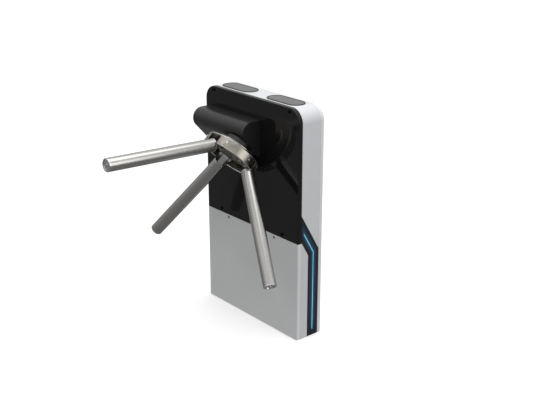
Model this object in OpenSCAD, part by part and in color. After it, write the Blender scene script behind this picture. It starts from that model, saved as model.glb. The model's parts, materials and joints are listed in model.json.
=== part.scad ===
// Tripod turnstile with visitor counter: slim cabinet, slanted rotor head, three drop arms.
// Millimetres. Origin on the floor at the cabinet's centre, +Z up, the arms on the -Y side.

/* [Cabinet] */
// Width of the cabinet, side to side
cab_w = 604; // [560:1:740]
// Depth of the cabinet, front face to rear face
cab_d = 134; // [126:1:170]
// Height of the cabinet
cab_h = 1000; // [980:1:1200]
// Radius of the two upper corners
corner_r = 60; // [40:1:75]
// Height of the seam between the upper and lower covers
seam_z = 439; // [360:1:520]
// Depth that the front and rear covers wrap round the sides
wrap_d = 18; // [14:1:24]
// Gap at every seam between covers
seam_gap = 0.8; // [0.4:0.1:2]
// Clearance between the covers and the floor
floor_gap = 1.5; // [1:0.5:4]
// Outer radius of the covers' bent edges
bend_r = 4; // [3:0.5:8]
// Sheet thickness of the covers
sheet_t = 2; // [1.5:0.1:2.5]
// Wall of the body shell
shell_t = 4; // [3.5:0.1:5]

/* [Side light band] */
// Width of the black band on each side
band_w = 59; // [40:1:64]
// Distance of the band's upright stretch behind the cabinet's centre
band_y = 19; // [5:1:22]
// Height at which the band bends forward
band_knee_z = 386; // [300:1:400]
// Slope of the band above the knee
band_slope = 59.6; // [45:0.1:65]
// Depth of the pocket that holds the band
band_pocket = 2.4; // [1.5:0.1:2.6]
// Width of the lit line
light_w = 8; // [6:1:14]
// Distance of the lit line's upper end in front of the cabinet's centre
light_front = 36; // [20:1:40]
// Height of the lit line's lower end
light_end_z = 27; // [10:1:120]

/* [Top windows] */
// Length of each reader window
window_l = 196; // [150:1:205]
// Width of each reader window
window_w = 80; // [50:1:84]
// Distance of each window from the cabinet's centre
window_x = 146; // [125:1:152]
// Height of the raised bezel above the top
bezel_h = 3; // [2:0.5:6]
// Width of the raised bezel
bezel_w = 5; // [3:0.5:8]

/* [Rotor] */
// Sideways place of the rotor's axis
rotor_x = 0; // [-30:1:2]
// Distance of the point where the arm lines meet in front of the cabinet's front face
rotor_out = 49; // [48:0.5:54]
// Height of the point where the arm lines meet
rotor_z = 826.5; // [815:0.5:832]
// Angle of the rotor's axis below the horizontal
tilt = 43; // [43:0.5:46]
// Angle between each arm and the rotor's axis
splay = 45; // [43:0.5:47]
// Radius of the hub disc
hub_r = 88; // [84:1:90]
// Distance of the hub's back face along the axis
hub_back = 37; // [36.5:0.5:42]
// Thickness of the hub disc
hub_t = 36; // [32:1:38]
// Outer radius of the shroud round the hub
shroud_r = 122; // [116:1:124]
// Distance of the shroud's back face along the axis
shroud_back = 52; // [50:0.5:56]
// Length of the shroud along the axis
shroud_l = 42; // [30:1:44]
// Wall of the shroud
shroud_t = 6; // [4:0.5:8]
// Diameter of the shaft in the hub and the front bearing
shaft_d = 30; // [25:1:32]
// Diameter of the shaft's rear journal
journal_d = 25; // [17:1:25]

/* [Arms] */
// Distance of each hinge pin along its arm line
arm_pivot = 110; // [108:0.5:112]
// Length of each arm from its hinge pin to its tip
arm_l = 531; // [440:1:640]
// Outer diameter of the arm tube
arm_d = 54; // [38:1:55]
// Wall of the arm tube
arm_wall = 1.5; // [1:0.1:3]
// Diameter of the hinge pins
pin_d = 14; // [10:1:16]
// Width of the arm's knuckle between the hub's lugs
knuckle_w = 26; // [20:1:30]
// Thickness of each hub lug
lug_t = 9; // [7:0.5:12]

/* [Hood] */
// Length of the hood
hood_l = 340; // [260:1:340]
// Sideways place of the hood's centre
hood_x = -110; // [-115:1:-90]
// Height of the hood's top
hood_top = 911; // [905:1:920]
// Radius of the hood's nose
nose_r = 44; // [42:0.5:48]
// Distance of the hood's slanted face along the rotor's axis
hood_s = 12.7; // [12:0.1:14]
// Wall of the hood
hood_t = 2.5; // [2:0.1:3]

/* [Locking] */
// Outer radius of the lock wheel
wheel_r = 46; // [40:1:48]
// Number of notches in the lock wheel
notches = 12; // [6:6:12]
// Swing of each pawl from released to locked
pawl_swing = 14; // [10:0.5:15]

/* [Hidden] */
$fn = 64;

// Cabinet
front_y = -cab_d / 2;
shell_front = cab_d / 2 - wrap_d - seam_gap;
cover_in = cab_d / 2 - sheet_t;
rail_t = 4;
seat_gap = 0.3;
base_t = 10;
base_x = cab_w / 2 - shell_t - 1;
post_w = 28;
post_t = 2;
post_out = cab_w / 2 - shell_t - 4;
post_in = post_out - post_w;
post_d = 2 * (cover_in - seat_gap - rail_t);
post_top = cab_h - corner_r + 10;
frame_y = post_d / 2;
anchor_x = cab_w / 2 - 82;
anchor_y = 35;
anchor_d = 13;
cable_hole_d = 40;
cable_hole_x = 120;
screw_head_r = 5.5;
screw_head_h = 2.4;
screw_r = 2.5;
screw_hole_r = 2.8;
panel_screw_top = [cab_w / 2 - 59, cab_h - 15.5];
panel_screw_low = [cab_w / 2 - 99.5, seam_z + 16];
lower_screw = [cab_w / 2 - 149.5, seam_z - 12.5];
cover_screws = [
    panel_screw_top, [-panel_screw_top[0], panel_screw_top[1]],
    panel_screw_low, [-panel_screw_low[0], panel_screw_low[1]],
    lower_screw, [-lower_screw[0], lower_screw[1]]
];

// Rotor frame: s runs out along the axis, u runs up across it
rotor_y = front_y - rotor_out;
hub_front = hub_back + hub_t;
function yz(s, u) = [
    rotor_y - s * cos(tilt) - u * sin(tilt),
    rotor_z - s * sin(tilt) + u * cos(tilt)
];

// Hood
nose_z = hood_top - nose_r;
nose_y = rotor_y - (hood_s - nose_r + (nose_z - rotor_z) * sin(tilt)) / cos(tilt);
hood_low = rotor_z - (hood_s + (front_y - rotor_y) * cos(tilt)) / sin(tilt);
hood_boss = 12;
hood_boss_x = hood_l / 2 - hood_t - hood_boss / 2;
hood_boss_z = [hood_low + 40, hood_top - 22];
hood_boss_l = [18, 30];

// Mechanism
neck_r = 22;
boss_r = 30;
boss_l = 18;
head_w = 84;
head_back = front_y + 11;
head_s = hood_s - 6.5;
head_low = rotor_z - 50;
head_top = hood_top - 18;
plate_t = 5;
plate_z = [rotor_z - 82, rotor_z + 108];
plate_flange = 36;
opening_gap = 3;
opening_top = rotor_z + (rotor_out + sheet_t) * tan(tilt) + neck_r / cos(tilt) + 1.5;
head_bolt_x = 34;
head_bolt_z = [rotor_z - 37, rotor_z + 16];
head_bolt_r = 4;
boss_end = -118;
bearing_gap = 0.02;
shaft_run = 0.04;
front_bearing_d = 62;
front_bearing_w = 16;
rear_bearing_d = 52;
rear_bearing_w = 15;
cap_r = 34.5;
cap_t = 3;
collar_r = 56;
collar_t = 20;
lock_t = 4;
lock_s = boss_end - lock_t;
wheel_t = 8;
wheel_s = [lock_s - 12, lock_s - 4];
notch_w = 14;
notch_depth = 8;
pawl_pivot = [wheel_r + 14, -30];
pawl_arm = 34;
pawl_tip = wheel_r + 3.5;
pawl_post_r = 5;
pawl_run = 0.05;
plunger_y = pawl_pivot[1] + pawl_arm;
plunger_r = 5;
plunger_s = wheel_s[0] - 3;
link_pin_r = 2.5;
plunger_travel = pawl_arm * sin(pawl_swing);
solenoid_x = [pawl_pivot[0] + 24, pawl_pivot[0] + 70];
solenoid_w = 30;
disc_r = 24;
disc_s = wheel_s[0] - 16;
disc_t = 1.5;
sensor_y = wheel_r + 4;
shaft_tail = disc_s - 10;
nut_s = hub_front - 13;
counterbore_r = 25;
thread_d = 20;

// Arms
pivot_r = arm_pivot * sin(splay);
pivot_s = arm_pivot * cos(splay);
lug_r = pin_d / 2 + 8;
knuckle_r = pin_d / 2 + 6;
side_gap = 0.3;
pin_run = 0.05;
pin_half = knuckle_w / 2 + side_gap + lug_t;
pin_head_r = pin_d / 2 + 3.5;
pin_head_t = 4;
tube_start = 32;
arm_flange = 6;
knuckle_plug = 24;
arm_cap_t = 6;
cap_plug = 16;
tube_fit = 0.1;

// Electronics
tray_t = 2;
tray_y = 20;
tray_z = [130, 600];

// ---- Placing ----

module on_front() {
    translate([0, front_y, 0]) rotate([90, 0, 180]) children();
}

module on_rear() {
    translate([0, -front_y, 0]) rotate([90, 0, 0]) children();
}

module on_right_side(x) {
    translate([x, 0, 0]) rotate([90, 0, 90]) children();
}

module along_x(x0, x1) {
    on_right_side(x0) linear_extrude(x1 - x0) children();
}

module on_axis(s) {
    translate([rotor_x, rotor_y, rotor_z]) rotate([90 + tilt, 0, 0]) translate([0, 0, s]) children();
}

module at_arm(k) {
    on_axis(0) rotate([0, 0, 120 * k]) rotate([-splay, 0, 0]) translate([0, 0, arm_pivot]) children();
}

module both_sides() {
    children();
    mirror([1, 0, 0]) children();
}

// ---- Shared shapes ----

module ring(r_out, r_in, h) {
    difference() {
        cylinder(r = r_out, h = h);
        translate([0, 0, -1]) cylinder(r = r_in, h = h + 2);
    }
}

// Cross bar with round ends, centred
module stadium(l, w) {
    square([l - w, w], center = true);
    for (side = [-1, 1]) translate([side * (l - w) / 2, 0]) circle(d = w);
}

// Upright outline with the two upper corners rounded
module arch(w, h, r) {
    translate([-w / 2, 0]) square([w, h - r]);
    translate([-w / 2 + r, 0]) square([w - 2 * r, h]);
    for (side = [-1, 1]) translate([side * (w / 2 - r), h - r]) circle(r);
}

// Section across a cover's edge: x runs outward to r, y runs back from the front face
module edge_section(r, d, bend) {
    translate([0, bend]) square([r, d - bend]);
    square([r - bend, bend + 0.01]);
    translate([r - bend, bend]) circle(bend);
}

// Closed cover blank, front face at z = 0, with bent side and top edges
module cover_blank(w, z0, h, r, d, bend) {
    straight = h - r - z0;
    translate([0, z0 + straight, 0]) rotate([90, 0, 0]) linear_extrude(straight) both_sides()
        edge_section(w / 2, d, bend);
    for (side = [0, 1]) mirror([side, 0, 0]) translate([w / 2 - r, h - r, 0])
        rotate_extrude(angle = 90) edge_section(r, d, bend);
    translate([-w / 2 + r, h - r, 0]) rotate([90, 0, 90]) linear_extrude(w - 2 * r)
        edge_section(r, d, bend);
}

// Upper cover: a tray with a wrap round both sides and the top
module upper_cover() {
    z0 = seam_z + seam_gap / 2;
    difference() {
        cover_blank(cab_w, z0, cab_h, corner_r, wrap_d, bend_r);
        translate([0, 0, sheet_t]) cover_blank(
            cab_w - 2 * sheet_t, z0 - 1, cab_h - sheet_t, corner_r - sheet_t, wrap_d, bend_r - sheet_t
        );
        for (p = cover_screws) if (p[1] > seam_z) translate([p[0], p[1], -1])
            cylinder(r = screw_hole_r, h = sheet_t + 2);
        children();
    }
}

// Lower cover: a tray with a wrap round both sides
module lower_cover() {
    z1 = seam_z - seam_gap / 2;
    difference() {
        translate([0, z1, 0]) rotate([90, 0, 0]) linear_extrude(z1 - floor_gap) difference() {
            both_sides() edge_section(cab_w / 2, wrap_d, bend_r);
            translate([0, sheet_t]) both_sides()
                edge_section(cab_w / 2 - sheet_t, wrap_d, bend_r - sheet_t);
        }
        for (p = cover_screws) if (p[1] < seam_z) translate([p[0], p[1], -1])
            cylinder(r = screw_hole_r, h = sheet_t + 2);
    }
}

// Button-head screw, head above z = 0 and shank below it
module screw(head_r, head_h, shank_r, l) {
    difference() {
        union() {
            cylinder(r1 = head_r, r2 = head_r * 0.7, h = head_h);
            translate([0, 0, -l]) cylinder(r = shank_r, h = l + 0.5);
        }
        translate([0, 0, head_h * 0.4]) cylinder(r = head_r * 0.4, h = head_h, $fn = 6);
    }
}

// Strip that follows the side band's line: y across, z up
module band_strip(w, y_start, z_end) {
    over = w / 2 / cos(band_slope);
    knee = over - w / 2 * tan(band_slope);
    z_start = band_knee_z + (band_y - y_start) * tan(band_slope);
    polygon([
        [y_start, z_start + over],
        [band_y + w / 2, band_knee_z + knee],
        [band_y + w / 2, z_end],
        [band_y - w / 2, z_end],
        [band_y - w / 2, band_knee_z - knee],
        [y_start, z_start - over]
    ]);
}

// The same strip, no further front or back than the body shell
module band_area(w, y_start, z_end, margin) {
    intersection() {
        band_strip(w, y_start, z_end);
        translate([-shell_front - margin, z_end])
            square([2 * shell_front + 2 * margin, band_knee_z + cab_h / 2]);
    }
}

// ---- Frame ----

module base_plate() {
    color("dimgray") difference() {
        translate([-base_x, -frame_y, 0]) cube([2 * base_x, post_d, base_t]);
        for (x = [-1, 1], y = [-1, 1]) translate([x * anchor_x, y * anchor_y, -1])
            cylinder(d = anchor_d, h = base_t + 2);
        translate([cable_hole_x, 0, -1]) cylinder(d = cable_hole_d, h = base_t + 2);
    }
}

// Folded channel, open towards the body shell, with three bosses that carry the shell
module side_frame() {
    difference() {
        translate([post_in, -frame_y, base_t]) cube([post_w, post_d, post_top - base_t]);
        translate([post_in + post_t, -frame_y + post_t, base_t - 1])
            cube([post_w, post_d - 2 * post_t, post_top - base_t + 2]);
    }
    shell_in = cab_w / 2 - shell_t;
    for (z = [0.12, 0.66, 0.88]) translate([post_in + post_t - 0.5, -shell_front + 12, z * post_top])
        rotate([0, 90, 0]) cylinder(r = 7, h = shell_in - post_in - post_t + 0.5);
}

module right_side_frame() {
    color("darkgray") side_frame();
}

module left_side_frame() {
    color("darkgray") mirror([1, 0, 0]) side_frame();
}

// Flat bar behind the covers, facing the front
module rail(low, high, screw_z0, screw_z1) {
    top_x = cab_w / 2 - corner_r + 10;
    difference() {
        translate([0, -cover_in + seat_gap + rail_t, 0]) rotate([90, 0, 0]) linear_extrude(rail_t) {
            if (high > post_top) {
                translate([-post_out, low]) square([2 * post_out, post_top - low]);
                translate([-top_x, low]) square([2 * top_x, high - low]);
            } else {
                translate([-post_out, low]) square([2 * post_out, high - low]);
            }
        }
        for (p = cover_screws) if (p[1] > screw_z0 && p[1] < screw_z1)
            translate([p[0], -cover_in, p[1]]) rotate([-90, 0, 0]) translate([0, 0, -1])
                cylinder(r = screw_r + 0.02, h = rail_t + 3);
    }
}

module rail_pair() {
    rail(post_top - 20, cab_h - 6, seam_z + 50, cab_h);
    rail(seam_z - 26, seam_z + 30, 0, seam_z + 50);
}

module front_rails() {
    color("darkgray") rail_pair();
}

module rear_rails() {
    color("darkgray") rotate([0, 0, 180]) rail_pair();
}

// ---- Casing ----

module body_shell() {
    inner_h = cab_h - shell_t;
    pocket_x = cab_w / 2 - band_pocket;
    color("gainsboro") difference() {
        translate([0, shell_front, 0]) rotate([90, 0, 0]) linear_extrude(2 * shell_front) difference() {
            translate([0, floor_gap]) arch(cab_w, cab_h - floor_gap, corner_r);
            arch(cab_w - 2 * shell_t, inner_h, corner_r - shell_t);
        }
        both_sides() {
            along_x(pocket_x, cab_w / 2 + 1) band_area(band_w, -shell_front - 1, -1, 1);
            along_x(cab_w / 2 - shell_t - 1, cab_w / 2) band_strip(light_w - 1, -light_front, light_end_z);
        }
        for (side = [-1, 1]) translate([side * window_x, 0, inner_h - 1])
            linear_extrude(shell_t + 2) stadium(window_l - 2, window_w - 2);
    }
}

module front_upper_cover() {
    color([0.09, 0.09, 0.1]) on_front() upper_cover() {
        translate([-rotor_x - head_w / 2 - opening_gap, head_low - opening_gap, -1])
            cube([head_w + 2 * opening_gap, opening_top - head_low + opening_gap, sheet_t + 2]);
        for (side = [-1, 1], i = [0, 1])
            translate([-hood_x + side * hood_boss_x, hood_boss_z[i], -1])
                cylinder(r = screw_hole_r, h = sheet_t + 2);
    }
}

module front_lower_cover() {
    color("gainsboro") on_front() lower_cover();
}

module rear_upper_cover() {
    color("gainsboro") on_rear() upper_cover();
}

module rear_lower_cover() {
    color("gainsboro") on_rear() lower_cover();
}

module cover_screw_set() {
    for (p = cover_screws) translate([p[0], p[1], 0]) mirror([0, 0, 1])
        screw(screw_head_r, screw_head_h, screw_r, sheet_t + seat_gap + rail_t + 2);
}

module hood_screw_set() {
    for (side = [-1, 1], i = [0, 1])
        translate([hood_x + side * hood_boss_x, front_y + sheet_t, hood_boss_z[i]])
            rotate([-90, 0, 0]) screw(screw_head_r, screw_head_h, screw_r, sheet_t + 10);
}

module cover_screws() {
    color("black") {
        on_front() cover_screw_set();
        on_rear() cover_screw_set();
        hood_screw_set();
    }
}

// ---- Side light bands ----

band_floor = cab_w / 2 - band_pocket;
band_face = cab_w / 2 - 0.3;
band_edge = 0.3;

module band() {
    difference() {
        along_x(band_floor, band_face)
            band_area(band_w - 2 * band_edge, -shell_front, floor_gap, 0);
        along_x(band_floor - 1, band_face + 1)
            band_strip(light_w + 0.4, -light_front - 0.2, light_end_z - 0.2);
    }
}

module light_guide() {
    along_x(band_floor, band_face - 0.2) band_strip(light_w, -light_front, light_end_z);
    along_x(cab_w / 2 - shell_t, band_floor)
        band_strip(light_w - 2, -light_front + 0.5, light_end_z + 0.5);
}

module led_strip() {
    along_x(cab_w / 2 - shell_t - 1.6, cab_w / 2 - shell_t)
        band_strip(light_w + 2, -light_front - 1, light_end_z - 1);
}

module right_band() {
    color([0.1, 0.11, 0.13]) band();
}

module left_band() {
    color([0.1, 0.11, 0.13]) mirror([1, 0, 0]) band();
}

module right_light_guide() {
    color([0.3, 0.65, 0.85]) light_guide();
}

module left_light_guide() {
    color([0.3, 0.65, 0.85]) mirror([1, 0, 0]) light_guide();
}

module led_strips() {
    color("white") both_sides() led_strip();
}

// ---- Reader windows in the top ----

ledge_t = 3;
skirt_gap = 0.3;
glass_l = window_l - 2 * bezel_w;
glass_w = window_w - 2 * bezel_w;

module window_bezel(side) {
    skirt_z = cab_h - shell_t - ledge_t;
    translate([side * window_x, 0, 0]) difference() {
        union() {
            translate([0, 0, cab_h]) linear_extrude(bezel_h) stadium(window_l, window_w);
            translate([0, 0, skirt_z]) linear_extrude(cab_h - skirt_z)
                stadium(window_l - 2 - 2 * skirt_gap, window_w - 2 - 2 * skirt_gap);
        }
        translate([0, 0, skirt_z + ledge_t]) linear_extrude(bezel_h + shell_t + 1)
            stadium(glass_l, glass_w);
        translate([0, 0, skirt_z - 1]) linear_extrude(ledge_t + 2)
            stadium(glass_l - 10, glass_w - 10);
    }
}

module reader_window(side) {
    z0 = cab_h - shell_t;
    translate([side * window_x, 0, z0]) linear_extrude(shell_t + bezel_h - 0.6)
        stadium(glass_l - 2 * skirt_gap, glass_w - 2 * skirt_gap);
}

module reader_module(side) {
    depth = 20;
    l = glass_l - 44;
    w = glass_w - 18;
    translate([side * window_x, 0, cab_h - shell_t - depth / 2]) difference() {
        cube([l, w, depth], center = true);
        translate([0, -w / 2, -2]) cube([16, 6, 6], center = true);
    }
}

module window_bezels() {
    color([0.25, 0.25, 0.26]) for (side = [-1, 1]) window_bezel(side);
}

module reader_windows() {
    color([0.5, 0.5, 0.51]) for (side = [-1, 1]) reader_window(side);
}

module reader_modules() {
    color("darkslategray") for (side = [-1, 1]) reader_module(side);
}

// ---- Hood over the rotor head ----

// Hood's side outline, y across and z up, drawn in by t; back is where it ends
module hood_outline(t, back) {
    tangent = [nose_y - (nose_r - t) * cos(tilt), nose_z - (nose_r - t) * sin(tilt)];
    low = rotor_z - (hood_s - t + (back - rotor_y) * cos(tilt)) / sin(tilt);
    polygon([[back, hood_top - t], [nose_y, hood_top - t], [nose_y, nose_z], tangent, [back, low]]);
    translate([nose_y, nose_z]) circle(nose_r - t);
}

module hood() {
    x0 = hood_x - hood_l / 2;
    x1 = hood_x + hood_l / 2;
    color([0.13, 0.13, 0.14]) difference() {
        union() {
            difference() {
                along_x(x0, x1) hood_outline(0, front_y);
                along_x(x0 + hood_t, x1 - hood_t) hood_outline(hood_t, front_y + 1);
            }
            for (side = [-1, 1], i = [0, 1])
                translate([hood_x + side * hood_boss_x, front_y - hood_boss_l[i] / 2, hood_boss_z[i]])
                    cube([hood_boss, hood_boss_l[i], hood_boss], center = true);
        }
        on_axis(0) cylinder(r = shaft_d / 2 + 9, h = hood_s + 10);
        for (side = [-1, 1], i = [0, 1])
            translate([hood_x + side * hood_boss_x, front_y + 1, hood_boss_z[i]])
                rotate([90, 0, 0]) cylinder(r = screw_r + 0.02, h = 14);
    }
}

module hub_collar() {
    color([0.16, 0.16, 0.17]) on_axis(hood_s) difference() {
        union() {
            cylinder(r = collar_r, h = collar_t - 2);
            translate([0, 0, collar_t - 2]) cylinder(r1 = collar_r, r2 = collar_r - 2, h = 2);
        }
        translate([0, 0, -1]) cylinder(r = shaft_d / 2 + 5, h = collar_t + 2);
    }
}

// ---- Rotor head ----

module mechanism_plate() {
    color("silver") difference() {
        union() {
            translate([-post_in, head_back, plate_z[0]])
                cube([2 * post_in, plate_t, plate_z[1] - plate_z[0]]);
            for (side = [0, 1]) mirror([side, 0, 0])
                translate([post_in - plate_t, head_back, plate_z[0]])
                    cube([plate_t, plate_flange, plate_z[1] - plate_z[0]]);
        }
        on_axis(boss_end) cylinder(r = boss_r + 1, h = -boss_end);
        for (side = [-1, 1], z = head_bolt_z)
            translate([rotor_x + side * head_bolt_x, head_back - 1, z]) rotate([-90, 0, 0])
                cylinder(r = head_bolt_r + 0.3, h = plate_t + 2);
    }
}

module head_casting() {
    low = yz(head_s, (head_low + 5 - yz(head_s, 0)[1]) / cos(tilt));
    high = yz(head_s, front_bearing_d / 2 + 7);
    color("lightgray") difference() {
        union() {
            along_x(rotor_x - head_w / 2, rotor_x + head_w / 2) polygon([
                [head_back, head_low], [low[0], head_low], low, high,
                [high[0], nose_z - 7], [nose_y, head_top], [head_back, head_top]
            ]);
            on_axis(boss_end) cylinder(r = neck_r, h = -boss_end - 20);
            on_axis(boss_end) cylinder(r = boss_r, h = boss_l);
        }
        on_axis(boss_end - 1) cylinder(r = shaft_d / 2 + 3, h = head_s - boss_end + 2);
        on_axis(head_s - front_bearing_w)
            cylinder(d = front_bearing_d + 2 * bearing_gap, h = front_bearing_w + 1);
        on_axis(boss_end - 1)
            cylinder(d = rear_bearing_d + 2 * bearing_gap, h = rear_bearing_w + 1);
        for (side = [-1, 1], z = head_bolt_z)
            translate([rotor_x + side * head_bolt_x, head_back + 1, z]) rotate([90, 0, 0])
                cylinder(r = head_bolt_r + 0.02, h = 15);
    }
}

module head_bolts() {
    color("dimgray") for (side = [-1, 1], z = head_bolt_z)
        translate([rotor_x + side * head_bolt_x, head_back + plate_t, z]) rotate([-90, 0, 0]) {
            cylinder(r = 7, h = 5, $fn = 6);
            translate([0, 0, -plate_t - 13]) cylinder(r = head_bolt_r, h = plate_t + 13);
        }
}

// Ball bearing as one ring with a groove in each face
module bearing(od, id, w) {
    mid = (od + id) / 4;
    difference() {
        ring(od / 2, id / 2 + shaft_run, w);
        for (z = [-1, w - 1]) translate([0, 0, z]) ring(mid + 4, mid - 4, 2);
    }
}

module front_bearing() {
    color("silver") on_axis(head_s - front_bearing_w)
        bearing(front_bearing_d, shaft_d, front_bearing_w);
}

module rear_bearing() {
    color("silver") on_axis(boss_end) bearing(rear_bearing_d, journal_d, rear_bearing_w);
}

module bearing_cap() {
    color("gray") on_axis(head_s) ring(cap_r, shaft_d / 2 + 3, cap_t);
}

// ---- Locking and counting ----

lock_x = solenoid_x[1] + 4;
lock_low = -sensor_y - 8;

module lock_plate() {
    color("silver") on_axis(lock_s) difference() {
        linear_extrude(lock_t) {
            translate([-lock_x, plunger_y - solenoid_w / 2 - 3])
                square([2 * lock_x, solenoid_w + 6]);
            translate([-pawl_pivot[0] - 14, lock_low])
                square([2 * pawl_pivot[0] + 28, 24 - lock_low]);
        }
        translate([0, 0, -1]) cylinder(d = journal_d + 8, h = lock_t + 2);
        for (side = [-1, 1]) translate([side * pawl_pivot[0], pawl_pivot[1], -1])
            cylinder(r = pawl_post_r - 1 + 0.02, h = lock_t + 2);
    }
}

module pawl_posts() {
    head_z = wheel_s[0] - 8;
    color("silver") for (side = [-1, 1]) on_axis(0) translate([side * pawl_pivot[0], pawl_pivot[1], 0]) {
        translate([0, 0, wheel_s[1] + side_gap])
            cylinder(r = pawl_post_r + 3, h = lock_s - wheel_s[1] - side_gap);
        translate([0, 0, head_z]) cylinder(r = pawl_post_r, h = lock_s - head_z);
        translate([0, 0, lock_s - 1]) cylinder(r = pawl_post_r - 1, h = lock_t + 1);
        translate([0, 0, head_z - 2]) cylinder(r = pawl_post_r + 3, h = 2);
    }
}

module pawl() {
    top = pawl_arm + 7;
    tooth = pawl_pivot[0] - pawl_tip;
    translate([pawl_pivot[0], pawl_pivot[1], wheel_s[0]]) {
        difference() {
            union() {
                linear_extrude(wheel_t) polygon([
                    [-5, 0], [-5, pawl_arm - 6], [-tooth, pawl_arm - 3], [-tooth, pawl_arm + 3],
                    [-2, pawl_arm + 5], [-1, top], [5, top], [5, 0]
                ]);
                cylinder(r = pawl_post_r + 4, h = wheel_t);
            }
            translate([0, 0, -1]) cylinder(r = pawl_post_r + pawl_run, h = wheel_t + 2);
        }
        translate([0, pawl_arm, -4]) cylinder(r = link_pin_r, h = 5);
    }
}

module right_pawl() {
    color("slategray") on_axis(0) pawl();
}

module left_pawl() {
    color("slategray") on_axis(0) mirror([1, 0, 0]) pawl();
}

// Closely wound torsion spring on each pawl post
module pawl_springs() {
    wire = 1.2;
    coil_r = pawl_post_r + wire / 2 + 0.3;
    turns = 5;
    color("goldenrod") for (side = [-1, 1]) on_axis(0)
        translate([side * pawl_pivot[0], pawl_pivot[1], wheel_s[0] - side_gap - wire / 2])
            for (i = [0 : turns - 1]) translate([0, 0, -i * wire * 0.95])
                rotate_extrude() translate([coil_r, 0]) circle(d = wire, $fn = 24);
}

module solenoid() {
    l = solenoid_x[1] - solenoid_x[0];
    difference() {
        translate([solenoid_x[0], plunger_y - solenoid_w / 2, lock_s - solenoid_w])
            cube([l, solenoid_w, solenoid_w]);
        translate([solenoid_x[0] - 1, plunger_y, plunger_s]) rotate([0, 90, 0])
            cylinder(r = plunger_r + 0.06, h = l + 2);
    }
}

module right_solenoid() {
    color("darkolivegreen") on_axis(0) solenoid();
}

module left_solenoid() {
    color("darkolivegreen") on_axis(0) mirror([1, 0, 0]) solenoid();
}

module plunger() {
    eye_t = 3.4;
    eye_x = pawl_pivot[0] - 6;
    rod_x = pawl_pivot[0] + 12;
    tail_x = solenoid_x[1] + plunger_travel + 4;
    difference() {
        union() {
            translate([rod_x, plunger_y, plunger_s]) rotate([0, 90, 0])
                cylinder(r = plunger_r, h = tail_x - rod_x);
            translate([tail_x - 2.5, plunger_y, plunger_s]) rotate([0, 90, 0])
                cylinder(r = plunger_r + 2, h = 2);
            translate([eye_x, plunger_y - 6, wheel_s[0] - side_gap - eye_t])
                cube([rod_x + 4 - eye_x, 12, eye_t]);
        }
        translate([pawl_pivot[0], plunger_y - 0.5, wheel_s[0] - 5])
            cube([2 * link_pin_r + 0.8, 2 * link_pin_r + 2.4, 12], center = true);
    }
}

module right_plunger() {
    color("lightsteelblue") on_axis(0) plunger();
}

module left_plunger() {
    color("lightsteelblue") on_axis(0) mirror([1, 0, 0]) plunger();
}

// Fork sensor that reads the disc, on a leg beside the lock wheel
module encoder_sensor() {
    fork_y = -disc_r + 6;
    color("black") on_axis(0) difference() {
        union() {
            translate([-8, -sensor_y - 6, disc_s - 5]) cube([16, 6, lock_s - disc_s + 5]);
            translate([-8, -sensor_y - 6, disc_s - 5]) cube([16, sensor_y + 6 + fork_y, disc_t + 10]);
        }
        translate([-9, -disc_r - 2, disc_s - 2]) cube([18, 20, disc_t + 4]);
    }
}

// ---- Rotor ----

module rotor_shaft() {
    shoulder = boss_end + rear_bearing_w + side_gap;
    color("lightgray") on_axis(0) {
        translate([0, 0, shaft_tail]) cylinder(d = journal_d, h = shoulder - shaft_tail + 0.5);
        translate([0, 0, shoulder]) cylinder(d = shaft_d, h = nut_s - shoulder);
        translate([0, 0, nut_s - 1]) cylinder(d = thread_d, h = 12);
    }
}

module lug_pair() {
    for (side = [-1, 1])
        translate([side * (knuckle_w / 2 + side_gap + lug_t / 2) - lug_t / 2, pivot_r, pivot_s])
            rotate([0, 90, 0]) {
                cylinder(r = lug_r, h = lug_t);
                translate([0, -lug_r - 1, 0]) cube([pivot_s - hub_front + 3, 2 * lug_r + 2, lug_t]);
            }
}

module hub() {
    chamfer = 3;
    pocket_w = knuckle_w + 2 * side_gap;
    color("silver") on_axis(0) difference() {
        union() {
            translate([0, 0, hub_back]) cylinder(r1 = hub_r - chamfer, r2 = hub_r, h = chamfer);
            translate([0, 0, hub_back + chamfer]) cylinder(r = hub_r, h = hub_t - 2 * chamfer);
            translate([0, 0, hub_front - chamfer]) cylinder(r1 = hub_r, r2 = hub_r - chamfer, h = chamfer);
            for (k = [0 : 2]) rotate([0, 0, 120 * k]) lug_pair();
        }
        translate([0, 0, hub_back - 1]) cylinder(r = shaft_d / 2 + 0.02, h = hub_t + 2);
        translate([0, 0, nut_s]) cylinder(r = counterbore_r, h = 14);
        for (k = [0 : 2]) rotate([0, 0, 120 * k]) {
            translate([-pocket_w / 2, pivot_r, pivot_s]) rotate([0, 90, 0])
                cylinder(r = knuckle_r + 1.5, h = pocket_w);
            translate([-pin_half - 1, pivot_r, pivot_s]) rotate([0, 90, 0])
                cylinder(r = pin_d / 2 + 0.02, h = 2 * pin_half + 2);
            for (side = [0, 1]) mirror([side, 0, 0]) translate([pin_half, pivot_r, pivot_s])
                rotate([0, 90, 0]) cylinder(r = pin_head_r + 1, h = pin_head_t + 1);
            rotate([0, 0, 60]) translate([0, hub_r - 28, hub_front - 9]) cylinder(r = 15, h = 10);
        }
    }
}

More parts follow.
